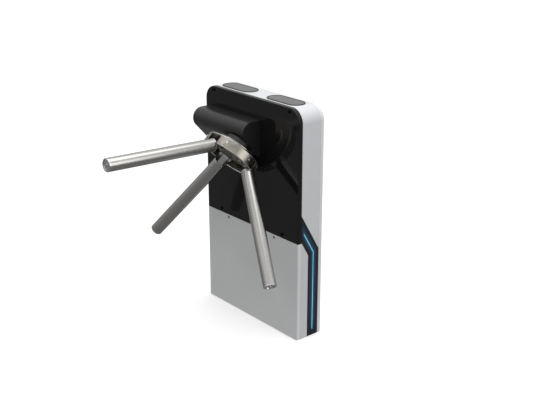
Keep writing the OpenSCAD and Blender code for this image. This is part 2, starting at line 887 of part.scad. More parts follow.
// Bell round the hub, slotted where the arms pass
module hub_shroud() {
    chamfer = 3;
    slot_w = arm_d + 6;
    slot_lip = 1.5;
    color("silver") on_axis(shroud_back) difference() {
        union() {
            cylinder(r1 = shroud_r - chamfer, r2 = shroud_r, h = chamfer);
            translate([0, 0, chamfer]) cylinder(r = shroud_r, h = shroud_l - chamfer);
        }
        translate([0, 0, -1]) cylinder(r = hub_r + 0.05, h = shroud_l + 2);
        translate([0, 0, shroud_t]) cylinder(r = shroud_r - shroud_t, h = shroud_l);
        for (k = [0 : 2]) rotate([0, 0, 120 * k])
            translate([-slot_w / 2, shroud_r - shroud_t - 6, shroud_t + slot_lip])
                cube([slot_w, shroud_r, shroud_l]);
    }
}

module shaft_nut() {
    color("dimgray") on_axis(nut_s) difference() {
        cylinder(r = 18, h = 9, $fn = 6);
        translate([0, 0, -1]) cylinder(d = thread_d + 0.04, h = 12);
    }
}

module hub_cap() {
    plug_h = 1.5;
    color("silver") on_axis(hub_front - plug_h) difference() {
        union() {
            cylinder(r = counterbore_r - 0.1, h = plug_h);
            translate([0, 0, plug_h]) cylinder(r1 = 31, r2 = 28, h = 4);
        }
        translate([0, 0, plug_h + 3]) cylinder(r = 20, h = 2);
    }
}

module arm_pins() {
    color("silver") for (k = [0 : 2]) on_axis(0) rotate([0, 0, 120 * k])
        translate([-pin_half, pivot_r, pivot_s]) rotate([0, 90, 0]) {
            cylinder(d = pin_d, h = 2 * pin_half);
            for (z = [-pin_head_t, 2 * pin_half]) translate([0, 0, z])
                cylinder(r = pin_head_r, h = pin_head_t);
        }
}

module lock_wheel() {
    color("slategray") on_axis(0) difference() {
        union() {
            translate([0, 0, wheel_s[0]]) cylinder(r = wheel_r, h = wheel_t);
            translate([0, 0, wheel_s[0] - 4]) cylinder(r = 18, h = wheel_t + 4);
        }
        translate([0, 0, wheel_s[0] - 5]) cylinder(d = journal_d + 0.04, h = wheel_t + 6);
        for (i = [0 : notches - 1]) rotate([0, 0, i * 360 / notches])
            translate([wheel_r - notch_depth, -notch_w / 2, wheel_s[0] - 1])
                cube([notch_depth + 2, notch_w, wheel_t + 2]);
    }
}

module encoder_disc() {
    slots = 24;
    color("gray") on_axis(disc_s) difference() {
        union() {
            cylinder(r = disc_r, h = disc_t);
            cylinder(r = 15, h = 11);
        }
        translate([0, 0, -1]) cylinder(d = journal_d + 0.04, h = 14);
        for (i = [0 : slots - 1]) rotate([0, 0, i * 360 / slots])
            translate([disc_r - 5, -0.8, -1]) cube([3, 1.6, disc_t + 2]);
    }
}

// ---- Arms: z runs out along the arm from the hinge pin ----

// Machined end that turns on the hinge pin and plugs into the tube
module arm_knuckle() {
    neck_w = knuckle_w - 2;
    difference() {
        union() {
            translate([-knuckle_w / 2, 0, 0]) rotate([0, 90, 0]) cylinder(r = knuckle_r, h = knuckle_w);
            translate([-neck_w / 2, -knuckle_r + 1, 0]) cube([neck_w, 2 * knuckle_r - 2, tube_start + 1]);
            translate([0, 0, tube_start]) cylinder(r1 = arm_d / 2 - 2, r2 = arm_d / 2, h = 2);
            translate([0, 0, tube_start + 2]) cylinder(d = arm_d, h = arm_flange - 2);
            translate([0, 0, tube_start + arm_flange - 1])
                cylinder(d = arm_d - 2 * arm_wall - 2 * tube_fit, h = knuckle_plug + 1);
        }
        translate([-knuckle_w, 0, 0]) rotate([0, 90, 0])
            cylinder(r = pin_d / 2 + pin_run, h = 2 * knuckle_w);
    }
}

module arm_tube() {
    z0 = tube_start + arm_flange;
    translate([0, 0, z0]) ring(arm_d / 2, arm_d / 2 - arm_wall, arm_l - arm_cap_t - z0);
}

module arm_cap() {
    dish = arm_d / 2 - 6;
    translate([0, 0, arm_l - arm_cap_t]) difference() {
        union() {
            translate([0, 0, -cap_plug]) cylinder(d = arm_d - 2 * arm_wall - 2 * tube_fit, h = cap_plug);
            cylinder(d = arm_d, h = arm_cap_t - 2);
            translate([0, 0, arm_cap_t - 2]) cylinder(d1 = arm_d, d2 = arm_d - 4, h = 2);
        }
        translate([0, 0, arm_cap_t - 3]) ring(dish, 6, 4);
        translate([0, 0, -cap_plug - 1]) cylinder(d = arm_d - 2 * arm_wall - 6, h = cap_plug);
    }
}

module arm_1_knuckle() {
    color("silver") at_arm(0) arm_knuckle();
}

module arm_1_tube() {
    color("lightgray") at_arm(0) arm_tube();
}

module arm_1_cap() {
    color("silver") at_arm(0) arm_cap();
}

module arm_2_knuckle() {
    color("silver") at_arm(1) arm_knuckle();
}

module arm_2_tube() {
    color("lightgray") at_arm(1) arm_tube();
}

module arm_2_cap() {
    color("silver") at_arm(1) arm_cap();
}

module arm_3_knuckle() {
    color("silver") at_arm(2) arm_knuckle();
}

module arm_3_tube() {
    color("lightgray") at_arm(2) arm_tube();
}

module arm_3_cap() {
    color("silver") at_arm(2) arm_cap();
}

// ---- Electronics in the lower cabinet ----

module electronics_plate() {
    color("silver") {
        translate([-post_in, tray_y, tray_z[0]]) cube([2 * post_in, tray_t, tray_z[1] - tray_z[0]]);
        both_sides() translate([post_in - tray_t, tray_y, tray_z[0]])
            cube([tray_t, 22, tray_z[1] - tray_z[0]]);
    }
}

module control_board() {
    w = 210;
    h = 130;
    board_t = 1.6;
    standoff = 8;
    z = tray_z[1] - h - 25;
    color("seagreen") {
        translate([-w / 2, tray_y - standoff - board_t, z]) cube([w, board_t, h]);
        for (x = [-1, 1], dz = [8, h - 8]) translate([x * (w / 2 - 8), tray_y, z + dz])
            rotate([90, 0, 0]) cylinder(r = 3, h = standoff + 0.5);
        for (i = [0 : 5]) translate([-w / 2 + 14 + i * 32, tray_y - standoff - board_t - 11, z + 6])
            cube([22, 11.5, 12]);
        translate([-20, tray_y - standoff - board_t - 3, z + h / 2]) cube([34, 3.5, 34]);
    }
}

module power_supply() {
    w = 199;
    h = 98;
    d = 38;
    color("lightgray") translate([-w / 2, tray_y + tray_t, tray_z[0] + 40]) difference() {
        cube([w, d, h]);
        for (i = [0 : 11]) translate([24 + i * 13, d - 2, 20]) cube([5, 3, h - 40]);
    }
}

module terminal_block() {
    ways = 8;
    pitch = 11;
    color("beige") translate([-ways * pitch / 2, tray_y - 20, tray_z[0] + 60]) difference() {
        cube([ways * pitch, 20, 26]);
        for (i = [0 : ways - 1]) translate([(i + 0.5) * pitch, -1, 6]) rotate([-90, 0, 0])
            cylinder(r = 3, h = 9);
        for (i = [0 : ways - 1]) translate([(i + 0.5) * pitch, 8, 20]) cylinder(r = 3, h = 8);
    }
}

// Gland that lines the cable hole in the base
module cable_gland() {
    bore_r = 9;
    color("black") translate([cable_hole_x, 0, 0]) difference() {
        union() {
            translate([0, 0, 1]) cylinder(d = cable_hole_d - 0.4, h = base_t);
            translate([0, 0, base_t]) cylinder(d = cable_hole_d + 10, h = 7, $fn = 6);
            translate([0, 0, base_t + 7]) cylinder(r1 = 17, r2 = 13, h = 12);
        }
        translate([0, 0, -1]) cylinder(r = bore_r, h = base_t + 30);
    }
}

base_plate();
left_side_frame();
right_side_frame();
front_rails();
rear_rails();
body_shell();
front_upper_cover();
front_lower_cover();
rear_upper_cover();
rear_lower_cover();
cover_screws();
left_band();
right_band();
left_light_guide();
right_light_guide();
led_strips();
window_bezels();
reader_windows();
reader_modules();
hood();
hub_collar();
mechanism_plate();
head_casting();
head_bolts();
front_bearing();
rear_bearing();
bearing_cap();
lock_plate();
pawl_posts();
left_pawl();
right_pawl();
pawl_springs();
left_solenoid();
right_solenoid();
left_plunger();
right_plunger();
encoder_sensor();
rotor_shaft();
hub();
hub_shroud();
shaft_nut();
hub_cap();
arm_pins();
lock_wheel();
encoder_disc();
arm_1_knuckle();
arm_1_tube();
arm_1_cap();
arm_2_knuckle();
arm_2_tube();
arm_2_cap();
arm_3_knuckle();
arm_3_tube();
arm_3_cap();
electronics_plate();
control_board();
power_supply();
terminal_block();
cable_gland();
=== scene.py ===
"""Looks of the tripod turnstile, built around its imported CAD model. Metres, same frame as the CAD."""
import json
import math

import bmesh
import bpy
from mathutils import Matrix, Vector


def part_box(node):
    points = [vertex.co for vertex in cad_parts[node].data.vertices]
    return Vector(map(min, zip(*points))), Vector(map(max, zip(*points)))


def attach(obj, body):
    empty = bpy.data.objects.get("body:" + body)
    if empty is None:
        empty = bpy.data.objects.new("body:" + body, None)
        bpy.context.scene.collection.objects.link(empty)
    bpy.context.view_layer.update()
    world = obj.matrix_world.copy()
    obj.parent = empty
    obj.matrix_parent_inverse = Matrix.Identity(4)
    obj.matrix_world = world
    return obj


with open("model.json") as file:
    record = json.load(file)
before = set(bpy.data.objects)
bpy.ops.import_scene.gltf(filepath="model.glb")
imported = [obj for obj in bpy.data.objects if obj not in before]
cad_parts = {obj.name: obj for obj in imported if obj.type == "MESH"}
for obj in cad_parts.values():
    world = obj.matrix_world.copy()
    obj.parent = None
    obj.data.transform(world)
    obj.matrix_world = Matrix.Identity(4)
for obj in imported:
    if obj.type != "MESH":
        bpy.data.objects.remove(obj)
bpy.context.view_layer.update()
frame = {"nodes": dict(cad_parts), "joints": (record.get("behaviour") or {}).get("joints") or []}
nodes = frame["nodes"]
joints = {j["name"]: j for j in frame["joints"]}
scene = bpy.context.scene
MM = 0.001

# Rotor frame: the axis points out and down, and "up" runs up across it
APEX = Vector(joints["rotor_spin"]["pos_m"])
AXIS = Vector(joints["rotor_spin"]["axis"]).normalized()
SIDE = Vector((1, 0, 0))
UP = AXIS.cross(SIDE).normalized()
ROTOR = Matrix((SIDE, UP, AXIS)).transposed()
ARM_JOINTS = ["arm_1_drop", "arm_2_drop", "arm_3_drop"]
ARM_BODIES = ["arm_one", "arm_two", "arm_three"]
PIVOTS = [Vector(joints[name]["pos_m"]) for name in ARM_JOINTS]


def placed(origin, rotation):
    """4x4 matrix from a place and a 3x3 rotation."""
    return Matrix.Translation(origin) @ rotation.to_4x4()


def rotor_place(s):
    """The rotor's own frame, s metres out along its axis."""
    return placed(APEX + s * AXIS, ROTOR)


def arm_place(k, z):
    """Arm k's frame, z metres out along the arm from its hinge pin."""
    out = (PIVOTS[k] - APEX).normalized()
    across = Vector(joints[ARM_JOINTS[k]]["axis"]).normalized()
    rotation = Matrix((across, out.cross(across), out)).transposed()
    return placed(PIVOTS[k] + z * out, rotation)


# ---- Camera ----

camera_data = bpy.data.cameras.new("camera")
camera = bpy.data.objects.new("camera", camera_data)
scene.collection.objects.link(camera)
scene.camera = camera
CAMERA_DOWN = 20.10
CAMERA_TURN = 49.735
camera_data.lens = 63.39
camera_data.sensor_width = 36
camera.location = (2.90903, -2.44014, 1.92313)
camera.rotation_euler = (math.radians(90 - CAMERA_DOWN), 0, math.radians(CAMERA_TURN))

# ---- Materials ----


class Nodes:
    """A node material: a principled shader, with helpers that add and join nodes."""

    def __init__(self, name, color=None, metallic=0.0, roughness=0.5, **sockets):
        self.material = bpy.data.materials.new(name)
        self.material.use_nodes = True
        self.tree = self.material.node_tree
        self.shader = self.tree.nodes["Principled BSDF"]
        self.shader.inputs["Metallic"].default_value = metallic
        self.shader.inputs["Roughness"].default_value = roughness
        if color is not None:
            self.shader.inputs["Base Color"].default_value = (*color, 1)
        for socket, value in sockets.items():
            self.shader.inputs[socket.replace("_", " ")].default_value = value

    def add(self, kind, **values):
        node = self.tree.nodes.new(kind)
        for key, value in values.items():
            setattr(node, key, value)
        return node

    def join(self, source, target):
        self.tree.links.new(source, target)

    def coords(self, scale=(1, 1, 1), place=None):
        """Object coordinates, seen from place if one is given, then scaled."""
        source = self.add("ShaderNodeTexCoord").outputs["Object"]
        if place is not None:
            local = self.add("ShaderNodeMapping", vector_type="TEXTURE")
            local.inputs["Location"].default_value = place.translation
            local.inputs["Rotation"].default_value = place.to_euler()
            self.join(source, local.inputs["Vector"])
            source = local.outputs["Vector"]
        mapping = self.add("ShaderNodeMapping")
        mapping.inputs["Scale"].default_value = scale
        self.join(source, mapping.inputs["Vector"])
        return mapping.outputs["Vector"]

    def noise(self, vector, scale, detail=3.0, roughness=0.5):
        node = self.add("ShaderNodeTexNoise")
        node.inputs["Scale"].default_value = scale
        node.inputs["Detail"].default_value = detail
        node.inputs["Roughness"].default_value = roughness
        self.join(vector, node.inputs["Vector"])
        return node.outputs["Fac"]

    def math(self, operation, first, second=None):
        node = self.add("ShaderNodeMath", operation=operation)
        for socket, value in zip(node.inputs, (first, second)):
            if isinstance(value, (int, float)):
                socket.default_value = value
            elif value is not None:
                self.join(value, socket)
        return node.outputs[0]

    def spread(self, value, low, high, start=0.3, end=0.7):
        """Maps value from start..end to low..high."""
        node = self.add("ShaderNodeMapRange")
        for socket, number in zip(list(node.inputs)[1:5], (start, end, low, high)):
            socket.default_value = number
        self.join(value, node.inputs["Value"])
        return node.outputs["Result"]

    def blend_colors(self, value, dark, light, start=0.3, end=0.7):
        node = self.add("ShaderNodeValToRGB")
        node.color_ramp.elements[0].position = start
        node.color_ramp.elements[1].position = end
        node.color_ramp.elements[0].color = (*dark, 1)
        node.color_ramp.elements[1].color = (*light, 1)
        self.join(value, node.inputs["Fac"])
        return node.outputs["Color"]

    def color(self, source):
        self.join(source, self.shader.inputs["Base Color"])

    def rough(self, source):
        self.join(source, self.shader.inputs["Roughness"])

    def bump(self, height, strength, distance):
        node = self.add("ShaderNodeBump")
        node.inputs["Strength"].default_value = strength
        node.inputs["Distance"].default_value = distance
        self.join(height, node.inputs["Height"])
        self.join(node.outputs["Normal"], self.shader.inputs["Normal"])


def shades(color, factor):
    return tuple(min(1.0, c * factor) for c in color)


def powder_coat(name, color, roughness, grain=900.0, depth=0.00005, variation=0.03):
    """Sprayed paint: fine orange peel, slow drift of tone, faint handling marks in the gloss."""
    m = Nodes(name, roughness=roughness)
    at = m.coords()
    drift = m.noise(at, 5.0, 4.0)
    peel = m.noise(at, grain, 2.0)
    marks = m.noise(at, 38.0, 6.0, 0.7)
    m.color(m.blend_colors(drift, shades(color, 1 - variation), shades(color, 1 + variation)))
    m.rough(m.spread(marks, roughness * 0.88, roughness * 1.12))
    m.bump(peel, 0.25, depth)
    return m.material


def brushed(name, color, roughness, scale, place=None, depth=0.00002, variation=0.05):
    """Brushed metal: long hair lines along the small axes of scale, in the frame of place."""
    m = Nodes(name, metallic=1.0, roughness=roughness)
    lines = m.noise(m.coords(scale, place), 1.0, 5.0, 0.65)
    cloud = m.noise(m.coords(), 24.0, 4.0)
    mixed = m.math("ADD", m.math("MULTIPLY", lines, 0.7), m.math("MULTIPLY", cloud, 0.3))
    m.color(m.blend_colors(mixed, shades(color, 1 - variation), shades(color, 1 + variation)))
    m.rough(m.spread(mixed, roughness * 0.75, roughness * 1.3))
    m.bump(lines, 0.2, depth)
    return m.material


def turned(name, color, roughness, place, pitch=0.0009, depth=0.00002, contrast=0.12):
    """Lathe-turned metal: fine rings round the frame's axis and a soft mottle in the tone; a high contrast
    makes the mottle a painted mottled reflection.
    """
    m = Nodes(name, metallic=1.0, roughness=roughness)
    local = m.coords(place=place)
    split = m.add("ShaderNodeSeparateXYZ")
    m.join(local, split.inputs[0])
    square = m.math("ADD", m.math("POWER", split.outputs["X"], 2.0), m.math("POWER", split.outputs["Y"], 2.0))
    radius = m.math("SQRT", square)
    rings = m.math("SINE", m.math("MULTIPLY", radius, 2 * math.pi / pitch))
    wobble = m.noise(local, 60.0, 5.0, 0.6)
    mottle = m.noise(local, 14.0, 3.0)
    tone = m.math("ADD", m.math("MULTIPLY", rings, 0.04), m.math("ADD", m.math("MULTIPLY", wobble, 0.5),
                  m.math("MULTIPLY", mottle, 0.5)))
    # The mottle's swing in tone is set by contrast; the hub's high contrast paints mottled reflections
    m.color(m.blend_colors(tone, shades(color, 1 - contrast), shades(color, 1 + contrast)))
    m.rough(m.spread(wobble, roughness * 0.7, roughness * 1.4))
    m.bump(m.math("ADD", m.math("MULTIPLY", rings, 0.5), wobble), 0.25, depth)
    return m.material


def cast_metal(name, color, roughness, grain=420.0, depth=0.00025):
    """Cast or blasted metal: coarse grain with darker pits."""
    m = Nodes(name, metallic=1.0, roughness=roughness)
    at = m.coords()
    grains = m.noise(at, grain, 4.0, 0.6)
    stains = m.noise(at, 18.0, 5.0)
    m.color(m.blend_colors(stains, shades(color, 0.8), shades(color, 1.1)))
    m.rough(m.spread(grains, roughness * 0.8, min(1.0, roughness * 1.25)))
    m.bump(grains, 0.5, depth)
    return m.material


def moulded(name, color, roughness, grain=700.0, depth=0.00008, **sockets):
    """Moulded plastic: spark-eroded grain and a slow change of gloss."""
    m = Nodes(name, roughness=roughness, **sockets)
    at = m.coords()
    grains = m.noise(at, grain, 3.0, 0.55)
    flow = m.noise(at, 9.0, 3.0)
    m.color(m.blend_colors(flow, shades(color, 0.9), shades(color, 1.1)))
    m.rough(m.spread(flow, roughness * 0.85, roughness * 1.15))
    m.bump(grains, 0.35, depth)
    return m.material


def piano_black(name):
    """High-gloss black: a clear lacquer over black, with faint ripple and dust in the gloss."""
    m = Nodes(name, roughness=0.07, IOR=1.36)
    at = m.coords()
    ripple = m.noise(at, 55.0, 2.0)
    dust = m.noise(at, 1500.0, 2.0)
    cloud = m.noise(at, 3.0, 3.0)
    m.color(m.blend_colors(cloud, (0.0075, 0.0075, 0.008), (0.010, 0.010, 0.0105)))
    m.rough(m.spread(dust, 0.05, 0.10))
    m.bump(ripple, 0.05, 0.0001)
    return m.material


def lit_plastic(name, core, edge, strength):
    """Diffusing guide: a glow that shifts between edge and core colours along its length, with a fine frost."""
    m = Nodes(name, color=edge, roughness=0.35)
    frost = m.noise(m.coords(), 260.0, 3.0)
    length = m.noise(m.coords((2, 2, 14)), 1.0, 1.0)
    m.color(m.blend_colors(frost, shades(edge, 0.9), shades(edge, 1.1)))
    m.join(m.blend_colors(length, edge, core, 0.35, 0.65), m.shader.inputs["Emission Color"])
    m.shader.inputs["Emission Strength"].default_value = strength
    m.bump(frost, 0.2, 0.00005)
    return m.material


def band_painted_glow(name):
    """Glossy black band with a painted blue glow along its middle: emission standing in for the light of the
    lit line.
    """
    m = Nodes(name, roughness=0.16)
    at = m.coords()
    flow = m.noise(at, 12.0, 3.0)
    m.color(m.blend_colors(flow, (0.008, 0.010, 0.014), (0.012, 0.015, 0.02)))
    m.rough(m.spread(m.noise(at, 800.0, 2.0), 0.12, 0.2))
    m.bump(m.noise(at, 60.0, 2.0), 0.06, 0.0001)
    split = m.add("ShaderNodeSeparateXYZ")
    m.join(at, split.inputs[0])
    slope = math.radians(BAND_SLOPE)
    upright = m.math("ABSOLUTE", m.math("SUBTRACT", split.outputs["Y"], BAND_Y))
    rise = m.math("MULTIPLY", m.math("SUBTRACT", split.outputs["Z"], BAND_KNEE_Z), math.cos(slope))
    run = m.math("MULTIPLY", m.math("SUBTRACT", split.outputs["Y"], BAND_Y), math.sin(slope))
    slanted = m.math("ABSOLUTE", m.math("ADD", rise, run))
    above = m.math("GREATER_THAN", split.outputs["Z"], BAND_KNEE_Z)
    keep = m.math("SUBTRACT", 1.0, above)
    away = m.math("ADD", m.math("MULTIPLY", slanted, above), m.math("MULTIPLY", upright, keep))
    fall = m.math("POWER", m.spread(away, 1.0, 0.0, 0.003, 0.026), 2.0)
    foot = m.spread(split.outputs["Z"], 0.0, 1.0, 0.015, 0.08)
    top = m.spread(split.outputs["Y"], 0.0, 1.0, -0.048, -0.03)
    # Painted glow: emission for the lit line's light on the band, fading with distance from the line, at the
    # foot and at the top
    glow = m.math("MULTIPLY", m.math("MULTIPLY", fall, foot), top)
    m.join(m.blend_colors(glow, (0, 0, 0), (0.010, 0.045, 0.10), 0.0, 1.0), m.shader.inputs["Emission Color"])
    m.shader.inputs["Emission Strength"].default_value = 1.0
    return m.material


light_low, light_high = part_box("right_light_guide")
BAND_Y = light_high.y - 4 * MM
BAND_KNEE_Z = 0.386
BAND_SLOPE = 59.6

STEEL = (0.465, 0.457, 0.443)
ZINC = (0.55, 0.56, 0.58)
GRAPHITE = (0.16, 0.165, 0.17)
ALONG_X = (6, 900, 900)
AROUND = (40, 40, 4200)

body_paint = powder_coat("body_paint", (0.665, 0.675, 0.695), 0.42)
cover_paint = powder_coat("cover_paint", (0.77, 0.78, 0.785), 0.42)
panel_black = piano_black("panel_black")
hood_black = powder_coat(
    "hood_black", (0.014, 0.014, 0.0145), 0.36, grain=1400.0, depth=0.00004, variation=0.08
)
collar_black = powder_coat("collar_black", (0.012, 0.012, 0.012), 0.45, grain=1100.0, variation=0.08)
screw_black = brushed("screw_black", (0.14, 0.14, 0.145), 0.4, (900, 900, 900))
zinc_sheet = brushed("zinc_sheet", ZINC, 0.38, ALONG_X, depth=0.00004, variation=0.12)
base_steel = powder_coat("base_steel", (0.05, 0.05, 0.052), 0.5, grain=500.0, depth=0.00015)
bezel_plastic = moulded("bezel_plastic", (0.022, 0.022, 0.023), 0.42)
window_plastic = moulded("window_plastic", (0.135, 0.135, 0.137), 0.38, grain=1200.0, depth=0.00003)
dark_plastic = moulded("dark_plastic", (0.02, 0.02, 0.021), 0.5)
board_green = moulded("board_green", (0.02, 0.12, 0.06), 0.3)
cast_alloy = cast_metal("cast_alloy", (0.50, 0.51, 0.52), 0.5)
# Olive tint and strong mottle paint the hub's mottled olive-grey reflections
hub_metal_painted_reflection = turned("hub_metal_painted_reflection", (0.32, 0.305, 0.265), 0.26, rotor_place(0), contrast=0.3)
wheel_metal = turned("wheel_metal", GRAPHITE, 0.38, rotor_place(0))
bright_steel = turned("bright_steel", (0.66, 0.66, 0.67), 0.2, rotor_place(0), pitch=0.0006)
spring_wire = brushed("spring_wire", (0.45, 0.38, 0.24), 0.35, (500, 500, 500))
coil_wrap = moulded("coil_wrap", (0.03, 0.06, 0.035), 0.45)
# Black band with a painted glow from the lit line
band_black = band_painted_glow("band_black")
guide_blue = lit_plastic("guide_blue", (0.02, 0.13, 0.20), (0.01, 0.075, 0.12), 0.5)
core_blue = lit_plastic("core_blue", (0.30, 0.68, 0.85), (0.16, 0.50, 0.68), 0.85)
plug_black = moulded("plug_black", (0.003, 0.003, 0.003), 0.7, grain=900.0, Specular_IOR_Level=0.08)
rubber = moulded("rubber", (0.012, 0.012, 0.012), 0.7, grain=500.0, depth=0.0001)
arm_steels = [
    brushed(f"arm_steel_{k + 1}", STEEL, 0.24, AROUND, arm_place(k, 0), depth=0.000004, variation=0.04)
    for k in range(3)
]
cap_steels = [turned(f"cap_steel_{k + 1}", (0.64, 0.64, 0.64), 0.2, arm_place(k, 0)) for k in range(3)]

LOOKS = {
    body_paint: ["body_shell"],
    cover_paint: ["front_lower_cover", "rear_upper_cover", "rear_lower_cover"],
    panel_black: ["front_upper_cover"],
    hood_black: ["hood"],
    collar_black: ["hub_collar"],
    screw_black: ["cover_screws", "head_bolts"],
    zinc_sheet: [
        "left_side_frame", "right_side_frame", "front_rails", "rear_rails",
        "mechanism_plate", "lock_plate", "electronics_plate"
    ],
    base_steel: ["base_plate"],
    bezel_plastic: ["window_bezels"],
    window_plastic: ["reader_windows"],
    dark_plastic: ["reader_modules", "encoder_sensor", "cable_gland", "terminal_block"],
    board_green: ["control_board", "led_strips"],
    cast_alloy: ["head_casting", "power_supply", "encoder_disc"],
    hub_metal_painted_reflection: ["hub", "hub_shroud", "hub_cap"],
    wheel_metal: ["lock_wheel", "bearing_cap", "shaft_nut", "left_pawl", "right_pawl"],
    bright_steel: [
        "front_bearing", "rear_bearing", "rotor_shaft", "pawl_posts",
        "left_plunger", "right_plunger", "arm_pins"
    ],
    spring_wire: ["pawl_springs"],
    coil_wrap: ["left_solenoid", "right_solenoid"],
    band_black: ["left_band", "right_band"],
    guide_blue: ["left_light_guide", "right_light_guide"],
}
for k in range(3):
    LOOKS[arm_steels[k]] = [f"arm_{k + 1}_tube"]
    LOOKS[cap_steels[k]] = [f"arm_{k + 1}_cap", f"arm_{k + 1}_knuckle"]


def dress(node, look):
    """Gives a CAD node its material in every slot."""
    mesh = nodes[node].data
    mesh.materials.clear()
    mesh.materials.append(look)


for look, names in LOOKS.items():
    for name in names:
        dress(name, look)
undressed = set(nodes) - {name for names in LOOKS.values() for name in names}
assert not undressed, f"no look for {sorted(undressed)}"

# ---- Mesh pieces ----

SMOOTH_ANGLE = math.radians(35)


def piece(name, bm, look, body):
    """Makes an object from bm, smooths it and lets it ride on a body."""
    bmesh.ops.recalc_face_normals(bm, faces=bm.faces[:])
    mesh = bpy.data.meshes.new(name)
    for edge in bm.edges:
        edge.smooth = len(edge.link_faces) == 2 and edge.calc_face_angle() < SMOOTH_ANGLE
    for face in bm.faces:
        face.smooth = True
    bm.to_mesh(mesh)
    bm.free()
    mesh.materials.append(look)
    made = bpy.data.objects.new(name, mesh)
    scene.collection.objects.link(made)
    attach(made, body)
    return made


def lathe(bm, profile, place=Matrix.Identity(4), segments=64):
    """Adds a solid of revolution. Its profile of (radius, height) starts and ends on the axis, or is a loop."""
    closed = profile[0][0] > 0
    rings = []
    for radius, height in profile:
        if radius == 0:
            rings.append([bm.verts.new(place @ Vector((0, 0, height)))])
        else:
            turns = [2 * math.pi * i / segments for i in range(segments)]
            rings.append([
                bm.verts.new(place @ Vector((radius * math.cos(t), radius * math.sin(t), height)))
                for t in turns
            ])
    pairs = list(zip(rings, rings[1:]))
    if closed:
        pairs.append((rings[-1], rings[0]))
    for low, high in pairs:
        for i in range(segments):
            j = (i + 1) % segments
            corners = [low[i % len(low)], low[j % len(low)], high[j % len(high)], high[i % len(high)]]
            unique = list(dict.fromkeys(corners))
            if len(unique) > 2:
                bm.faces.new(unique)


def socket_screw(bm, place, radius, height, socket_r, socket_depth, segments=36):
    """Adds a cap-screw head with a rounded rim and a hexagon socket, its foot at place."""
    soft = radius * 0.12
    outline = [(radius, 0), (radius, height - soft), (radius - soft * 0.3, height - soft * 0.3),
               (radius - soft, height)]
    rings = []
    for r, z in outline:
        turns = [2 * math.pi * i / segments for i in range(segments)]
        rings.append([bm.verts.new(place @ Vector((r * math.cos(t), r * math.sin(t), z))) for t in turns])
    hexes = []
    for z in (height, height - socket_depth):
        hexes.append([bm.verts.new(place @ Vector(hexagon(i * 6 / segments, socket_r) + (z,)))
                      for i in range(segments)])
    rings += hexes
    bm.faces.new(list(reversed(rings[0])))
    for low, high in zip(rings, rings[1:]):
        for i in range(segments):
            j = (i + 1) % segments
            bm.faces.new([low[i], low[j], high[j], high[i]])
    bm.faces.new(hexes[1])


def hexagon(turn, radius):
    """Point on a hexagon's outline, turn counted in sides."""
    side = int(turn) % 6
    share = turn - int(turn)
    a, b = (math.radians(60 * side), math.radians(60 * (side + 1)))
    x = radius * ((1 - share) * math.cos(a) + share * math.cos(b))
    y = radius * ((1 - share) * math.sin(a) + share * math.sin(b))
    return (x, y)


def screw_ring(bm, place, r_in, r_out, height):
    """Adds a flat washer with its foot at place."""
    lathe(bm, [(r_in, 0), (r_out, 0), (r_out, height), (r_in, height)], place, 36)


def bead_profile(radius, half, points=10):
    """Round section of a bead, radius out from the axis."""
    turns = [2 * math.pi * i / points for i in range(points)]
    return [(radius + half * math.cos(t), half * math.sin(t)) for t in turns]


def arc_bead(bm, place, radius, half, start, end, steps=40, points=10):
    """Adds a round bead along an arc about place's axis, closed at both ends. Angles in degrees from y."""
    rings = []
    for i in range(steps + 1):
        turn = Matrix.Rotation(math.radians(start + (end - start) * i / steps), 4, "Z")
        section = bead_profile(radius, half, points)
        rings.append([bm.verts.new(place @ turn @ Vector((0, r, z))) for r, z in section])
    for low, high in zip(rings, rings[1:]):
        for i in range(points):
            j = (i + 1) % points
            bm.faces.new([low[i], low[j], high[j], high[i]])
    bm.faces.new(rings[0])
    bm.faces.new(list(reversed(rings[-1])))


def strip(bm, path, normal, half, low, high, closed=False):
    """Adds a strip of rectangular section along a mitred path, standing from low to high along normal."""
    normal = Vector(normal)
    count = len(path)
    rings = []
    for i, point in enumerate(path):
        before = path[i - 1] if closed or i > 0 else None
        after = path[(i + 1) % count] if closed or i < count - 1 else None
        legs = [(before, point), (point, after)]
        ways = [(b - a).normalized() for a, b in legs if a is not None and b is not None]
        along = sum(ways, Vector()).normalized()
        across = along.cross(normal)
        reach = half / max(0.3, along.dot(ways[0]))
        rings.append([
            bm.verts.new(point + side * reach * across + up * normal)
            for side, up in ((-1, low), (1, low), (1, high), (-1, high))
        ])
    pairs = list(zip(rings, rings[1:])) + ([(rings[-1], rings[0])] if closed else [])
    for first, second in pairs:
        for i in range(4):
            j = (i + 1) % 4
            bm.faces.new([first[i], first[j], second[j], second[i]])
    if not closed:
        bm.faces.new(rings[0])
        bm.faces.new(list(reversed(rings[-1])))


def moved(x, y, z):
    return Matrix.Translation((x, y, z))


def turned_by(degrees, axis):
    return Matrix.Rotation(math.radians(degrees), 4, axis)


# Places that the CAD model sets: s runs out along the rotor's axis, z along an arm
RECESS_S = 64 * MM
RECESS_R = 60 * MM
PIN_END = 26.3 * MM
SHROUD_SCREW_S = 74 * MM
TUBE_START = 38 * MM
ARM_END = 531 * MM
PANEL_Y = -67 * MM
GUIDE_X = 301.5 * MM
LIGHT_LINE = ((19, 30), (19, 386), (-34, 476.4))
WINDOW_X = 146 * MM
WINDOW_HALF = 58 * MM
WINDOW_R = 34.9 * MM
WINDOW_TOP = 1002.4 * MM

# Bolts and washers in the hub's three recesses
bm = bmesh.new()
for k in range(3):
    place = rotor_place(RECESS_S) @ turned_by(60 + 120 * k, "Z") @ moved(0, RECESS_R, 0)
    screw_ring(bm, place, 7 * MM, 13 * MM, 1.5 * MM)
    socket_screw(bm, place @ moved(0, 0, 1.5 * MM), 9.5 * MM, 7 * MM, 5 * MM, 4 * MM)
piece("hub_bolts", bm, bright_steel, "rotor")

